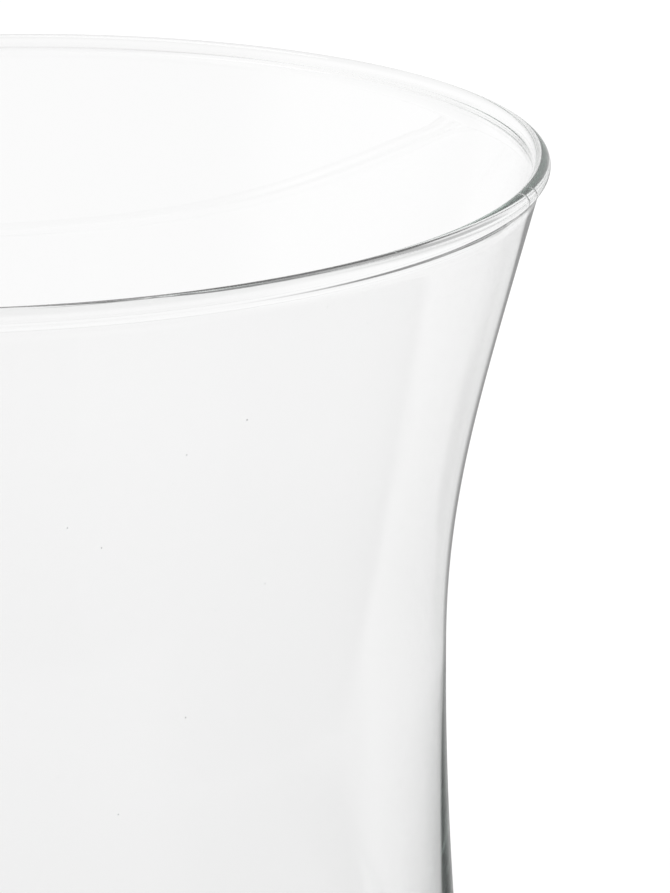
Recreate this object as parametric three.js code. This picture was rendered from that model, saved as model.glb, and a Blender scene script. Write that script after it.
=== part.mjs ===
// A clear glass vase: a flared mouth with a round bead on its edge, a drawn-in waist, and a heavy foot.
// Lengths are in millimetres, +Z is up, and the origin is the middle of the plane that the vase stands on.
// Every piece is a profile of radius against height, revolved about the vertical axis.

import * as THREE from 'three';

// The outside of the glass
const HEIGHT = 200;
const RIM_RADIUS = 81.25; // of the circle through the middle of the bead
const BEAD_RADIUS = 1.25;
const BEAD_OFFSET = 0.25; // how far the middle of the bead stands outside the middle of the wall
const FLARE_ANGLE = 14.3; // lean of the wall under the bead, in degrees from upright
const WAIST_RADIUS = 68.55;
const WAIST_HEIGHT = 125.7;
const BELLY_RADIUS = 74;
const BELLY_HEIGHT = 26;

// How far the wall's two curves hold their end directions before they turn
const FLARE_HOLD = 30.9;
const WAIST_HOLD_UP = 25.1;
const WAIST_HOLD_DOWN = 44.4;
const BELLY_HOLD = 23.1;

// The thickness of the glass, measured square to the wall
const LIP_WALL = 1;
const WAIST_WALL = 0.65;
const BELLY_WALL = 3;
const WALL_GROWTH = 1.5; // power by which the wall gains thickness from the waist down to the belly
const FLOOR_THICKNESS = 6;
const FLOOR_RADIUS = 52; // of the flat part of the floor inside

// The foot
const FOOT_HEIGHT = 6;
const RING_RADIUS = 60; // outer edge of the flat ring that the vase stands on
const RING_WIDTH = 9;
const DISH_DEPTH = 1.6; // hollow of the underside within the ring

// Smoothness of the facets
const TURN_STEPS = 64;
const WALL_STEPS = 12;
const HEEL_STEPS = 5;
const BEAD_STEPS = 14;

const DOWN = -Math.PI / 2;
const flareLean = THREE.MathUtils.degToRad(FLARE_ANGLE);

// The bead is a round section cut flat where it stands on the wall's top edge,
// flush with the wall inside and overhanging it outside
const lipEdgeWidth = LIP_WALL / Math.cos(flareLean);
const seatReach = lipEdgeWidth / 2 + BEAD_OFFSET;
const seatAngle = Math.asin(seatReach / BEAD_RADIUS);
const beadHeight = HEIGHT - BEAD_RADIUS;
const lipHeight = beadHeight - BEAD_RADIUS * Math.cos(seatAngle);

// The heel is a quarter ellipse from the ring up to the belly, and the seam of body and foot crosses it
const heelReach = BELLY_RADIUS - RING_RADIUS;
const seamAngle = Math.asin((FOOT_HEIGHT - BELLY_HEIGHT) / BELLY_HEIGHT);
const floorHeight = FOOT_HEIGHT + FLOOR_THICKNESS;

function at(radius, height) {
  return new THREE.Vector2(radius, height);
}

function heelArc(startAngle, endAngle) {
  return new THREE.EllipseCurve(RING_RADIUS, BELLY_HEIGHT, heelReach, BELLY_HEIGHT, startAngle, endAngle);
}

// Belly to waist, upright at both ends
function skirtCurve() {
  return new THREE.CubicBezierCurve(
    at(BELLY_RADIUS, BELLY_HEIGHT),
    at(BELLY_RADIUS, BELLY_HEIGHT + BELLY_HOLD),
    at(WAIST_RADIUS, WAIST_HEIGHT - WAIST_HOLD_DOWN),
    at(WAIST_RADIUS, WAIST_HEIGHT),
  );
}

// Waist to mouth, upright at the waist and leaning out by the flare angle at the lip
function flareCurve() {
  const lip = at(RIM_RADIUS - seatReach + lipEdgeWidth, lipHeight);
  return new THREE.CubicBezierCurve(
    at(WAIST_RADIUS, WAIST_HEIGHT),
    at(WAIST_RADIUS, WAIST_HEIGHT + WAIST_HOLD_UP),
    at(lip.x - FLARE_HOLD * Math.sin(flareLean), lip.y - FLARE_HOLD * Math.cos(flareLean)),
    lip,
  );
}

// The inner face lies level with the outer one, in by the wall's thickness over the cosine of its lean
function innerFace(curve, thicknessAt) {
  return curve.getPoints(WALL_STEPS).map((outer, step) => {
    const share = step / WALL_STEPS;
    const uprightness = curve.getTangent(share).y;
    return at(outer.x - thicknessAt(share) / uprightness, outer.y);
  });
}

function skirtThickness(share) {
  return WAIST_WALL + (BELLY_WALL - WAIST_WALL) * (1 - share) ** WALL_GROWTH;
}

function flareThickness(share) {
  return THREE.MathUtils.lerp(WAIST_WALL, LIP_WALL, share);
}

// Up the outside from the seam to the lip, then down the inside to the middle of the floor
function bodyProfile() {
  const heel = heelArc(seamAngle, 0);
  const skirt = skirtCurve();
  const flare = flareCurve();
  const innerReach = BELLY_RADIUS - BELLY_WALL - FLOOR_RADIUS;
  const innerDepth = BELLY_HEIGHT - floorHeight;
  const cove = new THREE.EllipseCurve(
    FLOOR_RADIUS, BELLY_HEIGHT, innerReach, innerDepth, 0, DOWN, true,
  );
  return [
    at(0, FOOT_HEIGHT),
    ...heel.getPoints(HEEL_STEPS),
    ...skirt.getPoints(WALL_STEPS).slice(1),
    ...flare.getPoints(WALL_STEPS).slice(1),
    ...innerFace(flare, flareThickness).reverse(),
    ...innerFace(skirt, skirtThickness).reverse().slice(1),
    ...cove.getPoints(HEEL_STEPS).slice(1),
    at(0, floorHeight),
  ];
}

// Round the section from one end of its flat seat to the other, and back along the seat
function beadProfile() {
  const section = new THREE.EllipseCurve(
    RIM_RADIUS, beadHeight, BEAD_RADIUS, BEAD_RADIUS,
    DOWN + seatAngle, DOWN + 2 * Math.PI - seatAngle,
  );
  const points = section.getPoints(BEAD_STEPS);
  return [...points, points[0].clone()];
}

// Out along the dished underside, across the ring, up the heel to the seam and back to the axis
function footProfile() {
  const dishRadius = RING_RADIUS - RING_WIDTH;
  const dish = new THREE.QuadraticBezierCurve(
    at(0, DISH_DEPTH), at(dishRadius / 2, DISH_DEPTH), at(dishRadius, 0),
  );
  return [
    ...dish.getPoints(HEEL_STEPS),
    ...heelArc(DOWN, seamAngle).getPoints(HEEL_STEPS),
    at(0, FOOT_HEIGHT),
  ];
}

function glassPiece(name, profile) {
  const geometry = new THREE.LatheGeometry(profile, TURN_STEPS);
  geometry.rotateX(Math.PI / 2);
  const material = new THREE.MeshStandardMaterial({
    color: '#eaf1ef',
    roughness: 0.02,
    metalness: 0,
    transparent: true,
    opacity: 0.35,
  });
  const piece = new THREE.Mesh(geometry, material);
  piece.name = name;
  return piece;
}

const vase = new THREE.Group();
vase.add(
  glassPiece('foot', footProfile()),
  glassPiece('body', bodyProfile()),
  glassPiece('lip_bead', beadProfile()),
);

export default vase;
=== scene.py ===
"""A clear blown-glass vase with a beaded lip, and the white studio that it stands in.

The glass is one continuous section, turned about the upright axis with the small unevenness of
blown work, and it carries a scatter of seeds, the tiny bubbles that are left in such glass.
Lengths are in metres, +Z is up, and the angles of the light tent are given in degrees.
"""

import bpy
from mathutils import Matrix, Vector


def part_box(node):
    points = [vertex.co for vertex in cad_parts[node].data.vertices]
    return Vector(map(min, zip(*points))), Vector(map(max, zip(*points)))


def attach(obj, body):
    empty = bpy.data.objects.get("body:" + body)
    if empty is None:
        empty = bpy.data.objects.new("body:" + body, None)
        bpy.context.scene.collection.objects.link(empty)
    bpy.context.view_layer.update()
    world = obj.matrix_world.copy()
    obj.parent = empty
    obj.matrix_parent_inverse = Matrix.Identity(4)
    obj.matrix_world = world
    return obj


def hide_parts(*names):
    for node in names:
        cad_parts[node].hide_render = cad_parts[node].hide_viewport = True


bl_info = {
    "name": "Clear Glass Vase",
    "version": (1, 0, 0),
    "blender": (4, 5, 0),
    "location": "View3D > Sidebar > Vase",
    "description": "Makes a flared vase of clear blown glass with a beaded lip, and its white studio",
    "category": "Add Mesh",
}

import math
from types import SimpleNamespace

import bpy
import numpy as np

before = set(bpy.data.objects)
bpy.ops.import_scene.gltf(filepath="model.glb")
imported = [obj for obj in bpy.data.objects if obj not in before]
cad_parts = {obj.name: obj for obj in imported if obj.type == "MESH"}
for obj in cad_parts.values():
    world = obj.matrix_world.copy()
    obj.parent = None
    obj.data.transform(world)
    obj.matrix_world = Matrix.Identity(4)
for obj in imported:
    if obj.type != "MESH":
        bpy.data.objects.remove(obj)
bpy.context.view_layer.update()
MM = 0.001

BODY = "root"
BEAD_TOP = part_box("lip_bead")[1]
BEAD_RADIUS = 1.25 * MM
FOOT_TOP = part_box("foot")[1]
FLOOR_THICKNESS = 6.0 * MM

# The photograph's frame, and the camera that its rim ellipses give
IMAGE_WIDTH = 670
IMAGE_HEIGHT = 893
FOCAL_PIXELS = 3030.6
CAMERA_FROM_RIM = (0.6372, -5.2154, 1.2709)  # in rim radii, from the middle of the rim
CAMERA_DIP = math.radians(19.17)
SENSOR = 36.0
LIGHT_BOUNCES = 512

# Steps along each stretch of the section, and round the axis
TURNS = 376
WALL_STEPS = 38
HEEL_STEPS = 16
BEAD_STEPS = 30
MELT_STEPS = 14
MELT_FITS = 4
MELT_GAP = 0.4 * MM  # left free of wall points where the melt under the bead ends
DISH_STEPS = 12
RING_STEPS = 3
FLOOR_STEPS = 8

# The waves that make the inner face uneven
RIPPLE_DRAW = 11
RIPPLE_WAVES = 9
RIPPLE_MOST_ROUND = 7
RIPPLE_LENGTH = 50 * MM
RIPPLE_WEIGHTS = (0.4, 1.0)

# Seeds that show in the photograph, as pixels of its frame, and the larger ones in the lip
SEED_PIXELS = (
    (186, 454), (101, 547), (357, 473), (340, 272), (326, 306), (366, 322), (446, 295), (26, 713),
    (77, 732), (246, 419), (264, 583), (131, 631), (335, 499), (67, 527), (185, 717), (118, 814),
)
LIP_SEED_PIXELS = ((395, 254), (528, 195), (521, 203))
LIP_SEED_SCALE = 3.5
PIXEL_RAY_STEPS = 4001
PIXEL_RAY_REACH = 2.0  # rim radii before and after the middle of the vase

# The seeds' random draws, and the facets of each
SEED_PLACE_DRAW = 21
SEED_SHAPE_DRAW = 5
SEED_HEADROOM = 8 * MM  # kept free of scattered seeds under the top of the bead
SEED_DEPTHS = (0.4, 0.6)  # shares of the way from the outer face to the inner one
SEED_LENGTHS = (0.45, 1.0)  # shares of the largest seed's length
SEED_WIDTHS = (0.55, 0.85)  # shares of the seed's own length
SEED_SEGMENTS = 8
SEED_RINGS = 5

# Patterns in the finish of the glass
DRAW_LINE_STRETCH = (1.0, 1.0, 0.12)
DRAW_LINE_SCALE = 90.0
DRAW_LINE_DETAIL = 2.0
DRAW_LINE_STRENGTH = 0.15
DRAW_LINE_HEIGHT = 0.02 * MM
MIST_SCALE = 35.0
MIST_DETAIL = 4.0
MIST_SPAN = (0.45, 0.75)
SEED_SKIN_SCALE = 3000.0
SEED_SKIN_SPAN = (0.3, 0.7)
SHADOW_COLOUR = (0.75, 0.77, 0.76, 1.0)
WHITE = (1.0, 1.0, 1.0, 1.0)

# The studio floor and its lamp
STUDIO_FLOOR_SIDES = 96
STUDIO_FLOOR_REACH = 4.0
STUDIO_FLOOR_DROP = 0.3 * MM
STUDIO_FLOOR_WHITE = 1.03
LAMP_SIZE = 0.7
LAMP_PLACE = (-0.35, 0.3, 1.3)

# How often light meets the glass: four faces are two walls, and the rest count mirrorings
TWO_WALLS = 4
MIRRORED_AGAIN = 2
MIRRORED_SEVERAL = 3
MIRRORED_TRAPPED = 9

# The angles below are of light that leaves the glass. An azimuth counts from straight behind the vase
# to its right, aside from the middle of the white panel to either side, and a tilt from level upwards.
# A pair is the start and the end of a smooth change, or the two ends of a window.
WINDOW_SOFT = 1.5

# The tent without its flags
BENT_TILTS = (-32, -17)
BENT_LEVELS = (0.94, 1.0)
SIDES_ASIDE = (12, 26)
FRONT_ASIDE = (60, 115)
DULL_TILTS = (-32, -8)
DULL_LEVELS = (0.75, 1.0)
WALL_DIM_ASIDE = (42, 55)
WALL_DIM_TILTS = (-23, -18)
WALL_DIM_ANY_TILT_ASIDE = (66, 76)
UPWARD_TILTS = (-8, 6)
UPWARD_ASIDE = (105, 130)

# The flags beside the white panel, with a wider lower part
FLAG_TILTS = (-33, -12)
LOW_FLAG_TILTS = (-24.2, -22.5)
LOW_FLAG_INNER_EDGE = -2
LOW_FLAG_OUTER_TILTS = (-26.5, -23)
LOW_FLAG_OUTER_EDGES = (32, 14.5)
LOW_FLAG_WALL_EDGE = 18.5  # as mirrored within one wall
LOW_FLAG_SHARPNESS = 1.6
LOW_FLAG_ASIDE = (10, 24)
LOW_FLAG_LEVELS = (0.42, 0.07)
HIGH_EDGE_TILTS = (-19.5, -17)
HIGH_EDGE = 23
INNER_EDGE_SOFT = (-1.5, 1.5)
OUTER_EDGE_SOFT = (-4.0, 3.0)
SHADE_START_ASIDE = (6, 15)
SHADE_END_ASIDE = (17, 21)

# The dark below
STEEP_TILTS = (-33, -30)
STEEP_RISE_ASIDE = (60, 80)
STEEP_RISES = (0, 6.5)
STEEP_START_ASIDE = (5, 12)
STEEP_END_ASIDE = (122, 140)
STEEPEST_TILTS = (-40, -36)
ACROSS_AZIMUTHS = (-2, 40)
ACROSS_GAP_TILTS = (-31, -23)
RIGHT_AZIMUTHS = (7, 75)
RIGHT_TILTS = (-49, -43)
BELOW_TILTS = (-70, -64.5)
BELOW_ASIDE = (8, 11)

# The flag high on the right, and the light that the glass mirrors many times
HIGH_FLAG_START_AZIMUTHS = (-2, 5)
HIGH_FLAG_END_AZIMUTHS = (95, 105)
HIGH_FLAG_TILTS = (18, 68)
HIGH_FLAG_SOFT = 2.0
SEVERAL_END_AZIMUTHS = (5, 10)
GUIDED_ASIDE = (95, 125)
GUIDED_FRONT_LEVEL = 0.05


class VaseSizes(bpy.types.PropertyGroup):
    """The shape of the glass"""

    height: bpy.props.FloatProperty(
        name="Height", description="From the ring it stands on to the top of the bead",
        default=BEAD_TOP.z, unit="LENGTH")
    bead_radius: bpy.props.FloatProperty(
        name="Bead radius", description="Radius of the lip bead's round section",
        default=BEAD_RADIUS, unit="LENGTH", precision=5)
    rim_radius: bpy.props.FloatProperty(
        name="Rim radius", description="Of the circle through the middle of the bead",
        default=BEAD_TOP.x - BEAD_RADIUS, unit="LENGTH", precision=5)
    bead_offset: bpy.props.FloatProperty(
        name="Bead offset", description="How far the bead's middle stands outside the middle of the wall",
        default=0.25 * MM, unit="LENGTH", precision=5)
    lip_fillet: bpy.props.FloatProperty(
        name="Lip fillet", description="Radius of the melt under the bead, outside the wall",
        default=3.5 * MM, unit="LENGTH", precision=5)
    inner_fillet: bpy.props.FloatProperty(
        name="Inner fillet", description="Radius of the melt under the bead, inside the wall",
        default=9.0 * MM, unit="LENGTH", precision=5)
    flare_angle: bpy.props.FloatProperty(
        name="Flare angle", description="Lean of the wall under the bead, from upright",
        default=math.radians(14.3), subtype="ANGLE")
    flare_hold: bpy.props.FloatProperty(
        name="Flare hold", description="How far the wall keeps the flare's lean below the bead",
        default=30.9 * MM, unit="LENGTH")
    waist_radius: bpy.props.FloatProperty(
        name="Waist radius", description="Outer radius at the narrowest place",
        default=68.55 * MM, unit="LENGTH", precision=5)
    waist_height: bpy.props.FloatProperty(
        name="Waist height", description="Height of the narrowest place",
        default=125.7 * MM, unit="LENGTH")
    waist_hold_up: bpy.props.FloatProperty(
        name="Waist hold, up", description="How far the wall stays upright above the waist",
        default=25.1 * MM, unit="LENGTH")
    waist_hold_down: bpy.props.FloatProperty(
        name="Waist hold, down", description="How far the wall stays upright below the waist",
        default=44.4 * MM, unit="LENGTH")
    belly_radius: bpy.props.FloatProperty(
        name="Belly radius", description="Outer radius at the widest place above the foot",
        default=74.0 * MM, unit="LENGTH")
    belly_height: bpy.props.FloatProperty(
        name="Belly height", description="Height of the widest place above the foot",
        default=26.0 * MM, unit="LENGTH")
    belly_hold: bpy.props.FloatProperty(
        name="Belly hold", description="How far the wall stays upright above the belly",
        default=23.1 * MM, unit="LENGTH")
    lip_wall: bpy.props.FloatProperty(
        name="Lip wall", description="Thickness of the glass under the bead",
        default=1.0 * MM, unit="LENGTH", precision=5)
    waist_wall: bpy.props.FloatProperty(
        name="Waist wall", description="Thickness of the glass at the waist",
        default=0.65 * MM, unit="LENGTH", precision=5)
    belly_wall: bpy.props.FloatProperty(
        name="Belly wall", description="Thickness of the glass at the belly",
        default=3.0 * MM, unit="LENGTH", precision=5)
    wall_growth: bpy.props.FloatProperty(
        name="Wall growth", description="Power by which the wall thickens from the waist to the belly",
        default=1.5)
    floor_height: bpy.props.FloatProperty(
        name="Floor height", description="Height of the floor inside",
        default=FOOT_TOP.z + FLOOR_THICKNESS, unit="LENGTH")
    floor_radius: bpy.props.FloatProperty(
        name="Floor radius", description="Radius of the flat part of the floor inside",
        default=52.0 * MM, unit="LENGTH")
    ring_radius: bpy.props.FloatProperty(
        name="Ring radius", description="Outer edge of the flat ring that the vase stands on",
        default=60.0 * MM, unit="LENGTH")
    ring_width: bpy.props.FloatProperty(
        name="Ring width", description="Width of the flat ring that the vase stands on",
        default=9.0 * MM, unit="LENGTH")
    dish_depth: bpy.props.FloatProperty(
        name="Dish depth", description="Hollow of the underside within the ring",
        default=1.6 * MM, unit="LENGTH", precision=5)


class VaseFinish(bpy.types.PropertyGroup):
    """The glass itself and the marks of its making"""

    ior: bpy.props.FloatProperty(
        name="Refractive index", description="How strongly the glass bends light", default=1.52)
    tint: bpy.props.FloatVectorProperty(
        name="Tint", description="Colour that the glass takes where light goes far through it",
        default=(0.77, 0.84, 0.81), subtype="COLOR", size=3)
    tint_density: bpy.props.FloatProperty(
        name="Tint density", description="Strength of the tint, per metre of glass", default=4.0)
    polish: bpy.props.FloatProperty(
        name="Polish", description="Greatest roughness of the fire-polished surface",
        default=0.03, subtype="FACTOR")
    ripple: bpy.props.FloatProperty(
        name="Ripple", description="Unevenness of the inner face left by blowing",
        default=0.012 * MM, unit="LENGTH", precision=6)
    seed_count: bpy.props.IntProperty(
        name="Seeds", description="Small bubbles scattered in the wall", default=40)
    seed_length: bpy.props.FloatProperty(
        name="Seed length", description="Length of the largest seeds in the wall",
        default=0.24 * MM, unit="LENGTH", precision=6)


class VaseStudio(bpy.types.PropertyGroup):
    """The white studio"""

    floor_colour: bpy.props.FloatVectorProperty(
        name="Floor colour", description="Colour of the studio floor",
        default=(1.0, 1.0, 1.0), subtype="COLOR", size=3)
    floor_glow: bpy.props.FloatProperty(
        name="Floor glow", description="Share of the floor's white that no shadow takes away",
        default=0.33, subtype="FACTOR")
    panel_width: bpy.props.FloatProperty(
        name="Panel half-width", description="Half the width of the white panel behind the vase",
        default=math.radians(7.7), subtype="ANGLE")
    panel_shift: bpy.props.FloatProperty(
        name="Panel shift", description="How far the white panel stands to the left of straight behind",
        default=math.radians(1.2), subtype="ANGLE")
    flag_width: bpy.props.FloatProperty(
        name="Flag edge", description="Where the dark flags beside the panel end",
        default=math.radians(17.0), subtype="ANGLE")
    flag_level: bpy.props.FloatProperty(
        name="Flag level", description="Brightness of the dark flags beside the panel",
        default=0.3, subtype="FACTOR")
    side_level: bpy.props.FloatProperty(
        name="Side level", description="Brightness of the sides of the tent, as the glass mirrors them",
        default=0.97, subtype="FACTOR")
    front_level: bpy.props.FloatProperty(
        name="Front level", description="Brightness of the front of the tent, as the glass mirrors it",
        default=0.75, subtype="FACTOR")
    wall_level: bpy.props.FloatProperty(
        name="Level within the wall",
        description="Share of that brightness for light mirrored within a wall",
        default=0.5, subtype="FACTOR")
    steep_level: bpy.props.FloatProperty(
        name="Steep level",
        description="Brightness of the dark below, for light that the bead turns down",
        default=0.04, subtype="FACTOR")
    shade_level: bpy.props.FloatProperty(
        name="Shade level", description="Brightness beside the panel as seen through both walls",
        default=0.7, subtype="FACTOR")
    guided_level: bpy.props.FloatProperty(
        name="Guided level",
        description="Brightness of the sides for light that ran far along inside the glass",
        default=0.95, subtype="FACTOR")
    below_level: bpy.props.FloatProperty(
        name="Level below", description="Brightness straight below, where the vase shades the floor",
        default=0.12, subtype="FACTOR")
    edge_level: bpy.props.FloatProperty(
        name="Edge level",
        description="Brightness of the tent beside the flags, as mirrored in the glass",
        default=0.75, subtype="FACTOR")
    high_level: bpy.props.FloatProperty(
        name="High flag level", description="Brightness of the dark flag high on the right",
        default=0.12, subtype="FACTOR")
    lamp_power: bpy.props.FloatProperty(
        name="Lamp power", description="Power of the soft overhead lamp", default=1.5, unit="POWER")
    cast_level: bpy.props.FloatProperty(
        name="Cast level", description="Brightness of the light that the glass casts into its own shadow",
        default=0.35, subtype="FACTOR")


def bezier(ends_and_holds, shares):
    """Points and unit directions of a cubic curve: its four points by their cubic Bernstein weights."""
    first, hold_a, hold_b, last = (np.asarray(p, float) for p in ends_and_holds)
    t = shares[:, None]
    s = 1 - t
    points = s**3 * first + 3 * s**2 * t * hold_a + 3 * s * t**2 * hold_b + t**3 * last
    slopes = s**2 * (hold_a - first) + 2 * s * t * (hold_b - hold_a) + t**2 * (last - hold_b)
    return points, slopes / np.linalg.norm(slopes, axis=1)[:, None]


def arc(centre, radii, start, end, steps):
    """Points of an ellipse's arc: the centre plus each radius times the angle's cosine or sine."""
    angles = np.linspace(start, end, steps + 1)
    return np.stack([centre[0] + radii[0] * np.cos(angles), centre[1] + radii[1] * np.sin(angles)], 1)


def lip_fillet(bead_middle, bead_radius, fillet, edge, lean, side):
    """A concave arc that touches the bead and one straight face of the wall.

    Its centre is a fillet radius off the face and both radii from the bead's middle. Returns its points
    from the bead to the wall, and the angle on the bead where it starts. side is 1 outside and -1 inside.
    """
    outward = side * np.array([math.cos(lean), -math.sin(lean)])
    up_wall = np.array([math.sin(lean), math.cos(lean)])
    to_face = (edge - bead_middle) @ outward
    drop = math.sqrt((bead_radius + fillet) ** 2 - (to_face + fillet) ** 2)
    touch = edge + up_wall * ((bead_middle - edge) @ up_wall - drop)
    centre = touch + outward * fillet
    to_bead = bead_middle - centre
    start = math.atan2(to_bead[1], to_bead[0])
    end = math.atan2(-outward[1], -outward[0])
    turn = (end - start + math.pi) % math.tau - math.pi
    return arc(centre, (fillet, fillet), start, start + turn, MELT_STEPS), start + math.pi


def melt_to_wall(bead_middle, bead_radius, fillet, face, side):
    """The melt between the bead and one face of the wall, fitted to the lean of the face where it ends."""
    heights = face[:, 1]
    leans = np.arctan(np.gradient(face[:, 0], heights))
    end = heights[-1]
    for _ in range(MELT_FITS):
        edge = np.array([np.interp(end, heights, face[:, 0]), end])
        lean = float(np.interp(end, heights, leans))
        melt, start = lip_fillet(bead_middle, bead_radius, fillet, edge, lean, side)
        end = melt[-1, 1]
    return melt, start


def wall_faces(sizes):
    """The two faces of the wall from belly to lip, as (outer points, inner points).

    Two cubic curves, upright where they meet at the waist, make the outer face. The inner face lies level
    with it, in by the wall's thickness over the cosine of its lean.
    """
    edge_width = sizes.lip_wall / math.cos(sizes.flare_angle)
    seat_reach = edge_width / 2 + sizes.bead_offset
    bead_height = sizes.height - sizes.bead_radius
    lip = np.array([
        sizes.rim_radius - seat_reach + edge_width,
        bead_height - math.sqrt(sizes.bead_radius**2 - seat_reach**2),
    ])
    up_wall = np.array([math.sin(sizes.flare_angle), math.cos(sizes.flare_angle)])
    shares = np.linspace(0, 1, WALL_STEPS + 1)
    skirt, skirt_way = bezier([
        (sizes.belly_radius, sizes.belly_height),
        (sizes.belly_radius, sizes.belly_height + sizes.belly_hold),
        (sizes.waist_radius, sizes.waist_height - sizes.waist_hold_down),
        (sizes.waist_radius, sizes.waist_height),
    ], shares)
    flare, flare_way = bezier([
        (sizes.waist_radius, sizes.waist_height),
        (sizes.waist_radius, sizes.waist_height + sizes.waist_hold_up),
        lip - sizes.flare_hold * up_wall,
        lip,
    ], shares)
    growth = (1 - shares) ** sizes.wall_growth
    skirt_wall = sizes.waist_wall + (sizes.belly_wall - sizes.waist_wall) * growth
    flare_wall = sizes.waist_wall + (sizes.lip_wall - sizes.waist_wall) * shares
    outer = np.vstack([skirt, flare[1:]])
    thickness = np.concatenate([skirt_wall, flare_wall[1:]])
    uprightness = np.concatenate([skirt_way[:, 1], flare_way[1:, 1]])
    inner = outer - np.stack([thickness / uprightness, np.zeros_like(thickness)], 1)
    return outer, inner


def foot_section(sizes):
    """The underside and the heel: a parabola for the dish, a flat ring and a quarter of an ellipse."""
    dish_edge = sizes.ring_radius - sizes.ring_width
    across = np.linspace(0, 1, DISH_STEPS + 1)
    dish = np.stack([dish_edge * across, sizes.dish_depth * (1 - across**2)], 1)
    ring_way = np.linspace(dish_edge, sizes.ring_radius, RING_STEPS + 1)
    ring = np.stack([ring_way, np.zeros(RING_STEPS + 1)], 1)
    heel = arc(
        (sizes.ring_radius, sizes.belly_height),
        (sizes.belly_radius - sizes.ring_radius, sizes.belly_height), -math.pi / 2, 0, HEEL_STEPS)
    return np.vstack([dish, ring[1:], heel[1:]])


def glass_section(sizes):
    """The whole section, from the axis under the foot, up the outside, over the bead and down the inside.

    Returns its points and a weight for each, which is one on the inner face and nothing elsewhere.
    """
    outer, inner = wall_faces(sizes)
    bead_middle = np.array([sizes.rim_radius, sizes.height - sizes.bead_radius])
    outer_melt, bead_start = melt_to_wall(bead_middle, sizes.bead_radius, sizes.lip_fillet, outer, 1)
    inner_melt, bead_end = melt_to_wall(bead_middle, sizes.bead_radius, sizes.inner_fillet, inner, -1)
    bead_start = (bead_start + math.pi) % math.tau - math.pi
    bead_end = bead_end % math.tau
    bead = arc(bead_middle, (sizes.bead_radius, sizes.bead_radius), bead_start, bead_end, BEAD_STEPS)
    cove = arc(
        (sizes.floor_radius, sizes.belly_height),
        (inner[0, 0] - sizes.floor_radius, sizes.belly_height - sizes.floor_height),
        0, -math.pi / 2, HEEL_STEPS)
    floor_way = np.linspace(sizes.floor_radius, 0, FLOOR_STEPS + 1)
    floor = np.stack([floor_way, np.full(FLOOR_STEPS + 1, sizes.floor_height)], 1)
    outer = outer[outer[:, 1] < outer_melt[-1, 1] - MELT_GAP]
    inner = inner[inner[:, 1] < inner_melt[-1, 1] - MELT_GAP]
    to_lip = np.vstack([foot_section(sizes), outer[1:], outer_melt[::-1], bead[1:-1], inner_melt])
    inner_face = np.vstack([inner[::-1], cove[1:]])
    points = np.vstack([to_lip, inner_face, floor[1:]])
    inside = np.zeros(len(points))
    inside[len(to_lip):len(to_lip) + len(inner_face)] = 1.0
    return points, inside


def even_waves(angles, heights):
    """A gentle unevenness between about -1 and 1: a sum of cosines of whole turns and of height."""
    draw = np.random.default_rng(RIPPLE_DRAW)
    rounds = draw.integers(1, RIPPLE_MOST_ROUND + 1, RIPPLE_WAVES)
    rises = draw.uniform(-math.tau, math.tau, RIPPLE_WAVES) / RIPPLE_LENGTH
    phases = draw.uniform(0, math.tau, RIPPLE_WAVES)
    weights = draw.uniform(*RIPPLE_WEIGHTS, RIPPLE_WAVES)
    waves = np.cos(rounds * angles[..., None] + rises * heights[..., None] + phases)
    return waves @ weights / math.sqrt(np.sum(weights**2))


def turned_grid(points, turns):
    """The section turned about the axis: radius times each angle's cosine and sine, and the height."""
    angles = np.arange(turns) * math.tau / turns
    radius = points[:, None, 0]
    height = np.repeat(points[:, None, 1], turns, 1)
    return radius * np.cos(angles), radius * np.sin(angles), height, angles


def closed_faces(rings, turns):
    """Faces of a grid that goes round: quads between neighbouring rings, and fans to two axis points."""
    row = np.arange(rings - 1)[:, None] * turns
    here = np.arange(turns)[None]
    after = (here + 1) % turns
    quads = np.stack([row + here, row + after, row + turns + after, row + turns + here], -1)
    under = rings * turns
    over = under + 1
    last = (rings - 1) * turns
    here, after = here[0], after[0]
    fans = np.vstack([
        np.stack([np.full(turns, under), after, here], 1),
        np.stack([np.full(turns, over), last + here, last + after], 1),
    ])
    return quads.reshape(-1, 4).tolist() + fans.tolist()


def mesh_piece(name, vertices, faces, material):
    """A new smooth-shaded mesh object at the origin."""
    mesh = bpy.data.meshes.new(name)
    mesh.from_pydata(vertices, [], faces)
    mesh.polygons.foreach_set("use_smooth", np.ones(len(mesh.polygons), bool))
    mesh.materials.append(material)
    mesh.update()
    piece = bpy.data.objects.new(name, mesh)
    bpy.context.scene.collection.objects.link(piece)
    return piece


def add_node(tree, kind, inputs=None, **settings):
    """A shader node with its settings made and its inputs linked or filled."""
    made = tree.nodes.new("ShaderNode" + kind)
    for name, value in settings.items():
        setattr(made, name, value)
    for key, value in (inputs or {}).items():
        if isinstance(value, bpy.types.NodeSocket):
            tree.links.new(value, made.inputs[key])
        else:
            made.inputs[key].default_value = value
    return made


def calc(tree, operation, *values):
    """The output of one Math node."""
    return add_node(tree, "Math", dict(enumerate(values)), operation=operation).outputs[0]


def ramp(tree, value, start, end, low, high, kind="SMOOTHSTEP"):
    """The output of a Map Range node, which stays at low before start and at high after end."""
    inputs = {"Value": value, "From Min": start, "From Max": end, "To Min": low, "To Max": high}
    return add_node(tree, "MapRange", inputs, interpolation_type=kind).outputs[0]


def new_tree(owner):
    """The owner's emptied node tree."""
    owner.use_nodes = True
    owner.node_tree.nodes.clear()
    return owner.node_tree


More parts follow.
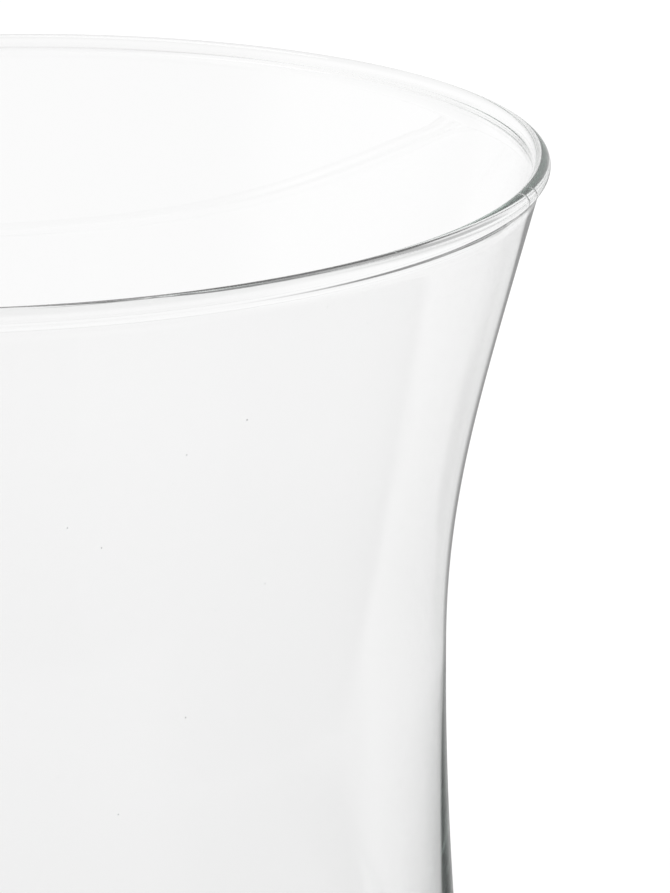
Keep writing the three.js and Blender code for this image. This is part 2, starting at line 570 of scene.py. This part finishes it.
def clear_glass(finish):
    """Clear fire-polished glass: faint draw lines and mist, a green-grey tint, and a light shadow."""
    material = bpy.data.materials.new("clear_glass")
    tree = new_tree(material)
    place = add_node(tree, "TexCoord").outputs["Object"]
    drawn = add_node(tree, "Mapping", {"Vector": place, "Scale": DRAW_LINE_STRETCH}).outputs[0]
    draw_lines = add_node(tree, "TexNoise", {
        "Vector": drawn, "Scale": DRAW_LINE_SCALE, "Detail": DRAW_LINE_DETAIL}).outputs[0]
    bump = add_node(tree, "Bump", {
        "Height": draw_lines, "Strength": DRAW_LINE_STRENGTH, "Distance": DRAW_LINE_HEIGHT}).outputs[0]
    mist = add_node(tree, "TexNoise", {
        "Vector": place, "Scale": MIST_SCALE, "Detail": MIST_DETAIL}).outputs[0]
    roughness = ramp(tree, mist, *MIST_SPAN, 0.0, finish.polish)
    glass = add_node(tree, "BsdfPrincipled", {
        "Base Color": WHITE, "IOR": finish.ior, "Transmission Weight": 1.0,
        "Roughness": roughness, "Normal": bump}).outputs[0]
    passed = add_node(tree, "BsdfTransparent", {"Color": SHADOW_COLOUR}).outputs[0]
    shadow_ray = add_node(tree, "LightPath").outputs["Is Shadow Ray"]
    surface = add_node(tree, "MixShader", {0: shadow_ray, 1: glass, 2: passed}).outputs[0]
    tint = add_node(tree, "VolumeAbsorption", {
        "Color": (*finish.tint, 1.0), "Density": finish.tint_density}).outputs[0]
    add_node(tree, "OutputMaterial", {"Surface": surface, "Volume": tint})
    return material


def seed_air(finish):
    """Air shut in the glass: its index is the glass's turned over, and its skin is faintly uneven."""
    material = bpy.data.materials.new("seed_air")
    tree = new_tree(material)
    place = add_node(tree, "TexCoord").outputs["Object"]
    skin = add_node(tree, "TexNoise", {"Vector": place, "Scale": SEED_SKIN_SCALE}).outputs[0]
    roughness = ramp(tree, skin, *SEED_SKIN_SPAN, 0.0, finish.polish)
    air = add_node(tree, "BsdfGlass", {
        "Color": WHITE, "IOR": 1 / finish.ior, "Roughness": roughness}).outputs[0]
    add_node(tree, "OutputMaterial", {"Surface": air})
    return material


def camera_place(sizes):
    """Where the camera stands: so many rim radii from the middle of the rim."""
    rim_middle = np.array([0.0, 0.0, sizes.height - sizes.bead_radius])
    return rim_middle + np.array(CAMERA_FROM_RIM) * sizes.rim_radius


def pixel_rays(pixels):
    """Unit directions from the camera through pixels of the photograph."""
    pixels = np.asarray(pixels, float)
    right = (pixels[:, 0] - IMAGE_WIDTH / 2) / FOCAL_PIXELS
    down = (pixels[:, 1] - IMAGE_HEIGHT / 2) / FOCAL_PIXELS
    sine = math.sin(CAMERA_DIP)
    cosine = math.cos(CAMERA_DIP)
    rays = np.stack([right, cosine - down * sine, -sine - down * cosine], 1)
    return rays / np.linalg.norm(rays, axis=1)[:, None]


def near_wall_points(pixels, sizes):
    """Where rays through pixels first come within the middle of the near wall."""
    outer, inner = wall_faces(sizes)
    middle = (outer + inner) / 2
    start = camera_place(sizes)
    distance = np.linalg.norm(start)
    reach = PIXEL_RAY_REACH * sizes.rim_radius
    steps = np.linspace(distance - reach, distance + reach, PIXEL_RAY_STEPS)
    ways = start + pixel_rays(pixels)[:, None] * steps[:, None]
    wall_radius = np.interp(ways[..., 2], middle[:, 1], middle[:, 0])
    within = np.hypot(ways[..., 0], ways[..., 1]) < wall_radius
    within &= ways[..., 2] < sizes.height
    first = within.argmax(1)
    return ways[np.arange(len(ways)), first]


def seed_places(sizes, finish):
    """Middles of the seeds: those that the photograph shows, then others drawn evenly over the wall."""
    shown = near_wall_points(SEED_PIXELS + LIP_SEED_PIXELS, sizes)
    draw = np.random.default_rng(SEED_PLACE_DRAW)
    outer, inner = wall_faces(sizes)
    heights = draw.uniform(sizes.belly_height, sizes.height - SEED_HEADROOM, finish.seed_count)
    angles = draw.uniform(0, math.tau, finish.seed_count)
    depth = draw.uniform(*SEED_DEPTHS, finish.seed_count)
    outside = np.interp(heights, outer[:, 1], outer[:, 0])
    inside = np.interp(heights, inner[:, 1], inner[:, 0])
    radius = outside + (inside - outside) * depth
    scattered = np.stack([radius * np.cos(angles), radius * np.sin(angles), heights], 1)
    return np.vstack([shown, scattered])


def seed_shapes(middles, longest):
    """Upright ellipsoids: each middle plus a unit sphere's grid times that seed's width and length."""
    draw = np.random.default_rng(SEED_SHAPE_DRAW)
    lengths = longest / 2 * draw.uniform(*SEED_LENGTHS, len(middles))
    in_lip = slice(len(SEED_PIXELS), len(SEED_PIXELS) + len(LIP_SEED_PIXELS))
    lengths[in_lip] *= LIP_SEED_SCALE
    widths = lengths * draw.uniform(*SEED_WIDTHS, len(middles))
    slopes = np.linspace(0, math.pi, SEED_RINGS + 2)[::-1]
    profile = np.stack([np.sin(slopes[1:-1]), np.cos(slopes[1:-1])], 1)
    x, y, z, _ = turned_grid(profile, SEED_SEGMENTS)
    ball = np.vstack([np.stack([x, y, z], -1).reshape(-1, 3), [[0, 0, -1], [0, 0, 1]]])
    scales = np.stack([widths, widths, lengths], 1)
    vertices = (middles[:, None] + ball * scales[:, None]).reshape(-1, 3)
    faces = closed_faces(SEED_RINGS, SEED_SEGMENTS)
    return vertices, [[corner + seed * len(ball) for corner in face]
                      for seed in range(len(middles)) for face in faces]


class VASE_OT_glass(bpy.types.Operator):
    """Make the glass: the whole section turned about its axis, uneven as blown glass is"""

    bl_idname = "vase.glass"
    bl_label = "Glass"

    def execute(self, context):
        sizes, finish = context.scene.vase_sizes, context.scene.vase_finish
        points, inside = glass_section(sizes)
        x, y, z, angles = turned_grid(points[1:-1], TURNS)
        blown = even_waves(np.broadcast_to(angles, z.shape), z) * inside[1:-1, None]
        swell = 1 + (finish.ripple * blown) / np.hypot(x, y)
        grid = np.stack([x * swell, y * swell, z], -1)
        ends = [[0, 0, points[0, 1]], [0, 0, points[-1, 1]]]
        vertices = np.vstack([grid.reshape(-1, 3), ends])
        faces = closed_faces(len(points) - 2, TURNS)
        piece = mesh_piece("vase_glass", vertices, faces, clear_glass(finish))
        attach(piece, BODY)
        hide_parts("lip_bead", "body", "foot")
        return {"FINISHED"}


class VASE_OT_seeds(bpy.types.Operator):
    """Scatter the seeds, the tiny drawn-out bubbles shut in the wall"""

    bl_idname = "vase.seeds"
    bl_label = "Seeds"

    def execute(self, context):
        sizes, finish = context.scene.vase_sizes, context.scene.vase_finish
        vertices, faces = seed_shapes(seed_places(sizes, finish), finish.seed_length)
        piece = mesh_piece("glass_seeds", vertices, faces, seed_air(finish))
        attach(piece, BODY)
        return {"FINISHED"}


def floor_white(studio):
    """A pale surface that glows in part and is matt for the rest, so that a shadow only tones it."""
    material = bpy.data.materials.new("studio_floor")
    tree = new_tree(material)
    colour = (*studio.floor_colour, 1.0)
    glow = add_node(tree, "Emission", {"Color": colour, "Strength": studio.floor_glow}).outputs[0]
    matt_share = STUDIO_FLOOR_WHITE - studio.floor_glow
    shade = tuple(part * matt_share for part in studio.floor_colour)
    matt = add_node(tree, "BsdfDiffuse", {"Color": (*shade, 1.0)}).outputs[0]
    both = add_node(tree, "AddShader", {0: glow, 1: matt}).outputs[0]
    add_node(tree, "OutputMaterial", {"Surface": both})
    return material


def studio_floor(studio):
    """A round floor just under the vase, which the glass itself neither mirrors nor shows."""
    angles = np.arange(STUDIO_FLOOR_SIDES) * math.tau / STUDIO_FLOOR_SIDES
    rim = np.stack([
        STUDIO_FLOOR_REACH * np.cos(angles), STUDIO_FLOOR_REACH * np.sin(angles),
        np.full(STUDIO_FLOOR_SIDES, -STUDIO_FLOOR_DROP)], 1)
    floor = mesh_piece("studio_floor", rim, [list(range(STUDIO_FLOOR_SIDES))], floor_white(studio))
    floor.visible_glossy = False
    floor.visible_transmission = False
    return floor


def sweep(tree, angle, degrees, levels):
    """A level that goes smoothly from one to another while an angle passes two values in degrees."""
    start, end = np.radians(degrees)
    return ramp(tree, angle, start, end, *levels)


def rising(tree, angle, degrees):
    """Nothing before the first of two values in degrees, and one after the second."""
    return sweep(tree, angle, degrees, (0.0, 1.0))


def falling(tree, angle, degrees):
    """One before the first of two values in degrees, and nothing after the second."""
    return sweep(tree, angle, degrees, (1.0, 0.0))


def window(tree, angle, degrees, soft=WINDOW_SOFT):
    """One while an angle lies between two values in degrees, with soft edges, and nothing outside them."""
    low, high = degrees
    opened = rising(tree, angle, (low - soft, low + soft))
    closed = falling(tree, angle, (high - soft, high + soft))
    return calc(tree, "MULTIPLY", opened, closed)


def drift(tree, angle, degrees, ends):
    """An angle that moves evenly from one end to the other while another passes two values, in degrees."""
    return ramp(tree, angle, *np.radians(degrees), *np.radians(ends), "LINEAR")


def blend(tree, share, first, second):
    """The first value where the share is nothing and the second where it is one."""
    return ramp(tree, share, 0.0, 1.0, first, second, "LINEAR")


def product(tree, first, *others):
    """The product of several values."""
    for other in others:
        first = calc(tree, "MULTIPLY", first, other)
    return first


def largest(tree, first, *others):
    """The largest of several values."""
    for other in others:
        first = calc(tree, "MAXIMUM", first, other)
    return first


def minus(tree, first, second):
    """The first value less the second."""
    return calc(tree, "SUBTRACT", first, second)


def at_least(tree, count, least):
    """One where a whole number is at least so large, and nothing elsewhere."""
    return calc(tree, "GREATER_THAN", count, least - 0.5)


def leaving_light(tree, path, studio):
    """What the tent goes by: where light leaves to, and how often it was let through or mirrored.

    once and twice say that it went through one wall or through both, mirrored that it was mirrored on its
    way, and bent that it was not.
    """
    way = add_node(tree, "TexCoord").outputs["Generated"]
    x, y, z = add_node(tree, "SeparateXYZ", {0: way}).outputs
    azimuth = calc(tree, "ARCTAN2", x, y)
    tilt = calc(tree, "ARCSINE", z)
    faces_crossed = path.outputs["Transmission Depth"]
    mirrorings = path.outputs["Glossy Depth"]
    twice = at_least(tree, faces_crossed, TWO_WALLS)
    mirrored = at_least(tree, mirrorings, 1)
    bent = minus(tree, 1.0, mirrored)
    return SimpleNamespace(
        azimuth=azimuth,
        aside=calc(tree, "ABSOLUTE", calc(tree, "ADD", azimuth, studio.panel_shift)),
        tilt=tilt,
        mirrorings=mirrorings,
        once=minus(tree, at_least(tree, faces_crossed, 1), twice),
        twice=twice,
        mirrored=mirrored,
        bent=bent,
        bent_twice=product(tree, bent, twice),
        flag_high=window(tree, tilt, FLAG_TILTS),
    )


def plain_tent(tree, light, studio):
    """The tent without its flags: nearly white for bent light, and duller for mirrored light.

    Mirrored light finds the tent duller towards the front and low down. Light mirrored within one wall
    finds the sides dimmer still, and white where it leaves upwards.
    """
    bent_level = sweep(tree, light.tilt, BENT_TILTS, BENT_LEVELS)
    side = sweep(tree, light.aside, SIDES_ASIDE, (studio.edge_level, studio.side_level))
    front = sweep(tree, light.aside, FRONT_ASIDE, (1.0, studio.front_level))
    dull = sweep(tree, light.tilt, DULL_TILTS, DULL_LEVELS)
    any_tilt = rising(tree, light.aside, WALL_DIM_ANY_TILT_ASIDE)
    dim = product(
        tree, rising(tree, light.aside, WALL_DIM_ASIDE),
        largest(tree, rising(tree, light.tilt, WALL_DIM_TILTS), any_tilt))
    within = blend(tree, product(tree, light.once, dim), 1.0, studio.wall_level)
    upward = product(
        tree, light.once, rising(tree, light.tilt, UPWARD_TILTS), falling(tree, light.aside, UPWARD_ASIDE))
    mirrored_level = blend(tree, upward, product(tree, side, front, dull, within), 1.0)
    return blend(tree, light.mirrored, bent_level, mirrored_level)


def with_panel_flags(tree, light, studio, level):
    """The level with the dark flags that hang on both sides of the white panel, for mirrored light.

    Low down the flags meet behind the vase, reach out farther the steeper the light goes, and grow darker
    outwards. For light bent through both walls only a paler shade takes their place.
    """
    low = falling(tree, light.tilt, LOW_FLAG_TILTS)
    low_edge = drift(tree, light.tilt, LOW_FLAG_OUTER_TILTS, LOW_FLAG_OUTER_EDGES)
    low_edge = blend(tree, light.once, low_edge, math.radians(LOW_FLAG_WALL_EDGE))
    raised = rising(tree, light.tilt, HIGH_EDGE_TILTS)
    high_edge = blend(tree, raised, studio.flag_width, math.radians(HIGH_EDGE))
    inner_edge = blend(tree, low, studio.panel_width, math.radians(LOW_FLAG_INNER_EDGE))
    outer_edge = blend(tree, low, high_edge, low_edge)
    sharpness = blend(tree, low, 1.0, LOW_FLAG_SHARPNESS)
    past_inner = rising(tree, minus(tree, light.aside, inner_edge), INNER_EDGE_SOFT)
    beyond = product(tree, minus(tree, light.aside, outer_edge), sharpness)
    past_outer = rising(tree, beyond, OUTER_EDGE_SOFT)
    let_by = minus(tree, 1.0, product(tree, light.twice, low))
    on_flag = product(tree, minus(tree, past_inner, past_outer), light.flag_high, light.mirrored, let_by)
    low_level = sweep(tree, light.aside, LOW_FLAG_ASIDE, LOW_FLAG_LEVELS)
    level = blend(tree, on_flag, level, blend(tree, low, studio.flag_level, low_level))
    shaded = product(
        tree, rising(tree, light.aside, SHADE_START_ASIDE), falling(tree, light.aside, SHADE_END_ASIDE),
        light.flag_high, light.bent_twice)
    return blend(tree, shaded, level, studio.shade_level)


def with_dark_below(tree, light, studio, level):
    """The level with the dark below, for steep light, light mirrored across the vase, and the right.

    The steep dark rises a little towards the front. Straight below, the vase shades what both walls show.
    """
    rise = drift(tree, light.aside, STEEP_RISE_ASIDE, STEEP_RISES)
    not_front = largest(
        tree, falling(tree, light.aside, STEEP_END_ASIDE), falling(tree, light.tilt, STEEPEST_TILTS))
    steep = product(
        tree, light.mirrored, light.once, falling(tree, minus(tree, light.tilt, rise), STEEP_TILTS),
        rising(tree, light.aside, STEEP_START_ASIDE), not_front)
    not_level = minus(tree, 1.0, window(tree, light.tilt, ACROSS_GAP_TILTS))
    across = product(
        tree, at_least(tree, light.mirrorings, MIRRORED_AGAIN), light.twice,
        window(tree, light.azimuth, ACROSS_AZIMUTHS), not_level)
    on_right = product(
        tree, window(tree, light.azimuth, RIGHT_AZIMUTHS), falling(tree, light.tilt, RIGHT_TILTS),
        light.bent_twice)
    level = blend(tree, largest(tree, steep, across, on_right), level, studio.steep_level)
    below = product(
        tree, falling(tree, light.tilt, BELOW_TILTS), rising(tree, light.aside, BELOW_ASIDE),
        light.bent_twice)
    return blend(tree, below, level, studio.below_level)


def with_high_flag(tree, light, studio, level):
    """The level with the dark flag high on the right, for bent light."""
    high = product(
        tree, rising(tree, light.azimuth, HIGH_FLAG_START_AZIMUTHS),
        falling(tree, light.azimuth, HIGH_FLAG_END_AZIMUTHS),
        window(tree, light.tilt, HIGH_FLAG_TILTS, HIGH_FLAG_SOFT), light.bent)
    return blend(tree, high, level, studio.high_level)


def tent_level(tree, path, studio):
    """How bright the light tent is for light that leaves the glass, by its direction and its path.

    Light mirrored several times finds white on the left, and light trapped far longer in the glass finds
    the sides bright and the front dark.
    """
    light = leaving_light(tree, path, studio)
    level = plain_tent(tree, light, studio)
    level = with_panel_flags(tree, light, studio, level)
    level = with_dark_below(tree, light, studio, level)
    level = with_high_flag(tree, light, studio, level)
    several = product(
        tree, at_least(tree, light.mirrorings, MIRRORED_SEVERAL),
        falling(tree, light.azimuth, SEVERAL_END_AZIMUTHS))
    level = blend(tree, several, level, 1.0)
    trapped = at_least(tree, light.mirrorings, MIRRORED_TRAPPED)
    guided = sweep(tree, light.aside, GUIDED_ASIDE, (studio.guided_level, GUIDED_FRONT_LEVEL))
    return blend(tree, trapped, level, guided)


def studio_world(studio):
    """White for the camera and matt surfaces, and the light tent for what glass mirrors or lets through.

    Light that reaches the floor through the glass finds one even level, so that the shadow stays soft.
    """
    world = bpy.data.worlds.new("studio_world")
    tree = new_tree(world)
    path = add_node(tree, "LightPath")
    through_glass = largest(tree, path.outputs["Is Glossy Ray"], path.outputs["Is Transmission Ray"])
    plain = add_node(tree, "Background", {"Color": WHITE, "Strength": 1.0}).outputs[0]
    from_floor = at_least(tree, path.outputs["Diffuse Depth"], 1)
    level = blend(tree, from_floor, tent_level(tree, path, studio), studio.cast_level)
    tent = add_node(tree, "Background", {"Color": WHITE, "Strength": level}).outputs[0]
    both = add_node(tree, "MixShader", {0: through_glass, 1: plain, 2: tent}).outputs[0]
    add_node(tree, "OutputWorld", {"Surface": both})
    return world


def soft_lamp(studio):
    """A round lamp above the vase, turned down towards it."""
    lamp = bpy.data.lights.new("soft_lamp", "AREA")
    lamp.shape = "DISK"
    lamp.size = LAMP_SIZE
    lamp.energy = studio.lamp_power
    hung = bpy.data.objects.new("soft_lamp", lamp)
    hung.location = LAMP_PLACE
    x, y, z = LAMP_PLACE
    hung.rotation_euler = (-math.atan2(y, z), math.atan2(x, z), 0)
    return hung


def photo_camera(sizes):
    """A camera with the photograph's place, dip and frame."""
    camera = bpy.data.cameras.new("camera")
    camera.sensor_width = SENSOR
    camera.lens = FOCAL_PIXELS * SENSOR / IMAGE_HEIGHT
    stand = bpy.data.objects.new("camera", camera)
    stand.location = camera_place(sizes)
    stand.rotation_euler = (math.pi / 2 - CAMERA_DIP, 0, 0)
    return stand


class VASE_OT_stage(bpy.types.Operator):
    """Set up the white floor, the light tent, the soft lamp and the camera"""

    bl_idname = "vase.stage"
    bl_label = "Studio"

    def execute(self, context):
        scene = context.scene
        scene.view_settings.view_transform = "Standard"
        scene.cycles.max_bounces = LIGHT_BOUNCES
        scene.cycles.glossy_bounces = LIGHT_BOUNCES
        scene.cycles.transmission_bounces = LIGHT_BOUNCES
        floor = studio_floor(scene.vase_studio)
        scene.world = studio_world(scene.vase_studio)
        scene.collection.objects.link(soft_lamp(scene.vase_studio))
        stand = photo_camera(scene.vase_sizes)
        scene.collection.objects.link(stand)
        scene.camera = stand
        return {"FINISHED"}


class VASE_PT_workshop(bpy.types.Panel):
    """Lists the steps that make the vase, with the sizes and colours they use"""

    bl_idname = "VASE_PT_workshop"
    bl_label = "Clear Glass Vase"
    bl_space_type = "VIEW_3D"
    bl_region_type = "UI"
    bl_category = "Vase"

    def draw(self, context):
        for step in STEPS:
            self.layout.operator(step.bl_idname)
        for group in (context.scene.vase_sizes, context.scene.vase_finish, context.scene.vase_studio):
            column = self.layout.box().column()
            for name in group.__annotations__:
                column.prop(group, name)


STEPS = (VASE_OT_glass, VASE_OT_seeds, VASE_OT_stage)
CLASSES = (VaseSizes, VaseFinish, VaseStudio, *STEPS, VASE_PT_workshop)


def register():
    """Adds the classes, and their settings to the scene."""
    for made in CLASSES:
        bpy.utils.register_class(made)
    bpy.types.Scene.vase_sizes = bpy.props.PointerProperty(type=VaseSizes)
    bpy.types.Scene.vase_finish = bpy.props.PointerProperty(type=VaseFinish)
    bpy.types.Scene.vase_studio = bpy.props.PointerProperty(type=VaseStudio)


def unregister():
    """Takes the settings and the classes away again."""
    del bpy.types.Scene.vase_studio
    del bpy.types.Scene.vase_finish
    del bpy.types.Scene.vase_sizes
    for made in reversed(CLASSES):
        bpy.utils.unregister_class(made)


def main():
    """Registers the classes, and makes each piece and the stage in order."""
    register()
    bpy.ops.vase.glass()
    bpy.ops.vase.seeds()
    bpy.ops.vase.stage()


if __name__ == "__main__":
    main()
